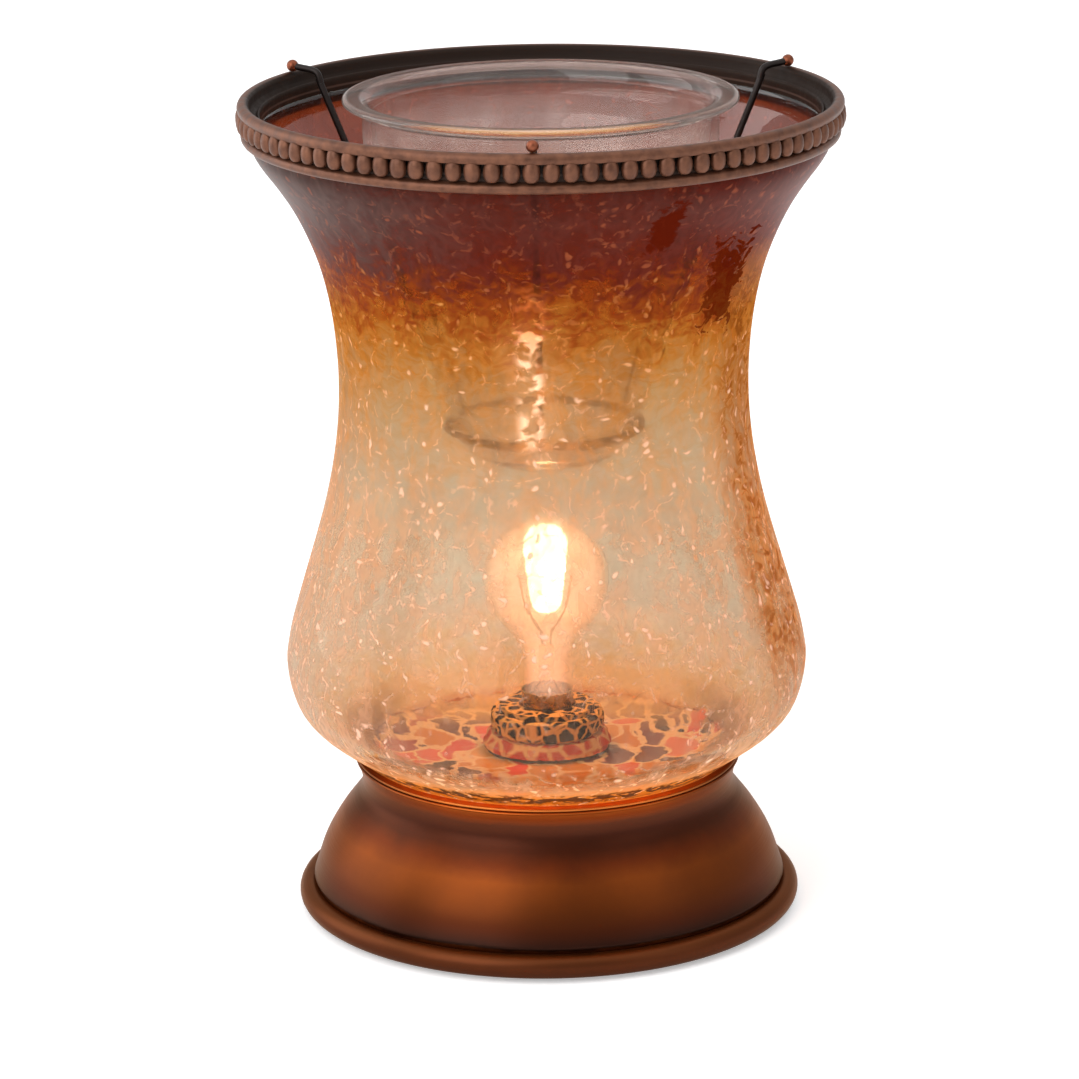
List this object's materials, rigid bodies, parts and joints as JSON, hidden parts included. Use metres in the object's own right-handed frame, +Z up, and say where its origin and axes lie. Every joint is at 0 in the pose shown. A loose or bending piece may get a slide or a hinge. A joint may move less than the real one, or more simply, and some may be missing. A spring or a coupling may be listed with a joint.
{
  "type": "electric wax warmer",
  "caption": "Hurricane-shaped crackle-glass wax warmer on a spun metal base, lit by a screw-in bulb under a deep glass dish in a wire hanger.",
  "frame": {"origin": "on the table, under the middle of the round base", "axes": "+Z up, -Y towards the viewer of the picture (the front hanger arm), +Y towards the cord inlet, +X to the viewer's right"},
  "size_m": [0.1562, 0.1562, 0.2205],
  "materials": {
    "base_finish": "copper-bronze lacquer on spun steel, satin to glossy",
    "rim_finish": "antique bronze on cast metal, worn bright on the crest",
    "wire": "dark bronze on steel wire",
    "crackle_glass": "crackled glass, stained amber-red at the mouth and the foot and nearly clear between",
    "dish_glass": "clear blown glass, polished",
    "lamp_glass": "thin clear lamp glass",
    "filament": "tungsten coil, lit",
    "brass": "bright brass",
    "nickel": "nickel-plated",
    "phenolic": "black moulded resin, semi-gloss",
    "rubber": "black soft rubber, matt",
    "gasket": "soft heat-proof gasket, matt",
    "steel": "zinc-plated steel",
    "lead_black": "black wire insulation",
    "lead_white": "white wire insulation"
  },
  "bodies": {
    "base": {"base_shell": "base_finish", "shade_pan": "base_finish", "cup_washer": "base_finish", "bottom_plate": "steel", "cord_inlet_bush": "rubber", "plate_post_1": "steel", "plate_post_2": "steel", "plate_post_3": "steel", "plate_screw_1": "steel", "plate_screw_2": "steel", "plate_screw_3": "steel", "foot_1": "rubber", "foot_2": "rubber", "foot_3": "rubber", "foot_4": "rubber", "terminal_block": "phenolic", "terminal_block_screw": "steel", "feed_lead_live": "lead_black", "feed_lead_neutral": "lead_white", "socket_body": "phenolic", "socket_shell": "brass", "socket_contact": "brass", "contact_rivet": "brass", "shell_rivet": "brass", "shade_clamp_ring": "phenolic", "washer_gasket": "gasket", "shade_gasket": "gasket", "shade_glass": "crackle_glass", "rim_ring": "rim_finish", "rim_bead_strip": "rim_finish"},
    "hanger": {"hanger_ring": "wire", "hanger_arm_front": "wire", "hanger_arm_right": "wire", "hanger_arm_left": "wire"},
    "dish": {"wax_dish": "dish_glass"},
    "bulb_tip_contact": {"bulb_tip": "nickel"},
    "bulb": {"bulb_cap": "brass", "bulb_insulator": "phenolic", "bulb_glass": "lamp_glass", "bulb_stem": "lamp_glass", "bulb_lead_left": "nickel", "bulb_lead_right": "nickel", "bulb_filament": "filament"}
  },
  "joints": [
    {"name": "hanger_lift", "type": "slide", "parent": "base", "child": "hanger", "axis": [0, 0, 1], "range_m": [0, 0.095]},
    {"name": "dish_lift", "type": "slide", "parent": "hanger", "child": "dish", "axis": [0, 0, 1], "range_m": [0, 0.11]},
    {"name": "bulb_rise", "type": "slide", "parent": "base", "child": "bulb_tip_contact", "axis": [0, 0, 1], "range_m": [0, 0.0127]},
    {"name": "bulb_turn", "type": "hinge", "parent": "bulb_tip_contact", "child": "bulb", "pos_m": [0, 0, 0.04], "axis": [0, 0, 1], "range_deg": [0, 1800]}
  ],
  "couplings": [
    {"joint": "bulb_rise", "follows": "bulb_turn", "m_per_rad": 0.00040425}
  ]
}
